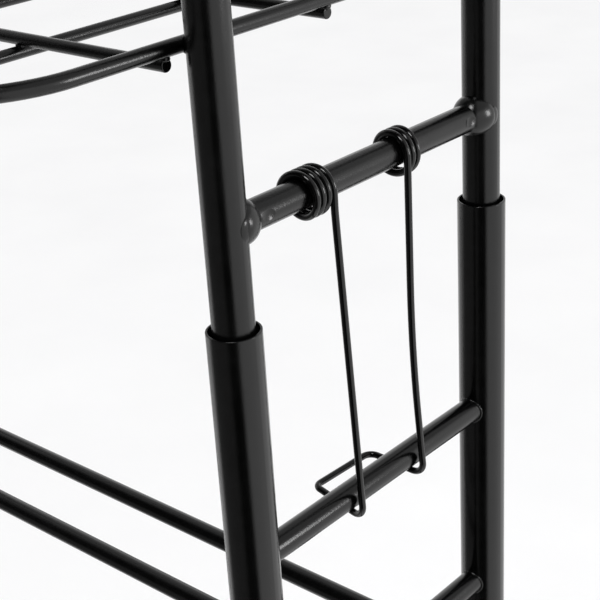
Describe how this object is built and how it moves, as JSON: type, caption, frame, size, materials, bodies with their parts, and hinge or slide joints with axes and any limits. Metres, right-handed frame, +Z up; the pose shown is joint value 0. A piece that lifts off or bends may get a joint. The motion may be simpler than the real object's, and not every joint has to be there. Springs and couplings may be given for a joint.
{
  "type": "over the toilet storage rack",
  "caption": "Freestanding rack for the space over a toilet: tube legs with side rungs, telescoped upper posts locked by swinging wire clips, and open wire shelves with rounded front corners.",
  "frame": {"origin": "on the floor, at the centre of the rack's footprint (the outline of its shelves)", "axes": "+Z up, +X to the right and +Y to the wall for a person who stands in front of the rack"},
  "size_m": [0.619, 0.3306, 1.7133],
  "materials": {
    "lower_frame_paint": "satin black powder coat",
    "upper_frame_paint": "satin black powder coat",
    "shelf_paint": "satin black powder coat",
    "clip_wire_paint": "semi-gloss black coating",
    "bolt_black": "black oxide",
    "foot_plastic": "matte moulded plastic",
    "cap_plastic": "satin moulded plastic",
    "plug_plastic": "matte moulded plastic",
    "zinc_steel": "zinc plated"
  },
  "bodies": {
    "rack": {"cross_rail_front": "lower_frame_paint", "cross_rail_rear": "lower_frame_paint", "cross_wires_lower_shelf": "shelf_paint", "cross_wires_middle_shelf": "shelf_paint", "cross_wires_upper_shelf": "shelf_paint", "foot_cap_front_left": "foot_plastic", "foot_cap_front_right": "foot_plastic", "foot_cap_rear_left": "foot_plastic", "foot_cap_rear_right": "foot_plastic", "foot_rung_left": "lower_frame_paint", "foot_rung_right": "lower_frame_paint", "guide_plug_front_left": "plug_plastic", "guide_plug_front_right": "plug_plastic", "guide_plug_rear_left": "plug_plastic", "guide_plug_rear_right": "plug_plastic", "long_wire_front_lower_shelf": "shelf_paint", "long_wire_front_middle_shelf": "shelf_paint", "long_wire_front_upper_shelf": "shelf_paint", "long_wire_rear_lower_shelf": "shelf_paint", "long_wire_rear_middle_shelf": "shelf_paint", "long_wire_rear_upper_shelf": "shelf_paint", "lower_post_front_left": "lower_frame_paint", "lower_post_front_right": "lower_frame_paint", "lower_post_rear_left": "lower_frame_paint", "lower_post_rear_right": "lower_frame_paint", "lower_rung_left": "lower_frame_paint", "lower_rung_right": "lower_frame_paint", "post_stop_pins": "zinc_steel", "rail_bolts": "bolt_black", "rail_inserts": "zinc_steel", "rail_rung_left": "lower_frame_paint", "rail_rung_right": "lower_frame_paint", "rim_lower_shelf": "shelf_paint", "rim_middle_shelf": "shelf_paint", "rim_upper_shelf": "shelf_paint", "top_cap_front_left": "cap_plastic", "top_cap_front_right": "cap_plastic", "top_cap_rear_left": "cap_plastic", "top_cap_rear_right": "cap_plastic", "upper_post_front_left": "upper_frame_paint", "upper_post_front_right": "upper_frame_paint", "upper_post_rear_left": "upper_frame_paint", "upper_post_rear_right": "upper_frame_paint", "upper_rung_left": "upper_frame_paint", "upper_rung_right": "upper_frame_paint"},
    "right_clip": {"clip_right": "clip_wire_paint"},
    "left_clip": {"clip_left": "clip_wire_paint"}
  },
  "joints": [
    {"name": "right_clip_swing", "type": "hinge", "parent": "rack", "child": "right_clip", "pos_m": [0.295, 0.05175, 1.1188], "axis": [0, -1, 0], "range_deg": [0, 165]},
    {"name": "left_clip_swing", "type": "hinge", "parent": "rack", "child": "left_clip", "pos_m": [-0.295, 0.05175, 1.1188], "axis": [0, 1, 0], "range_deg": [0, 165]}
  ]
}
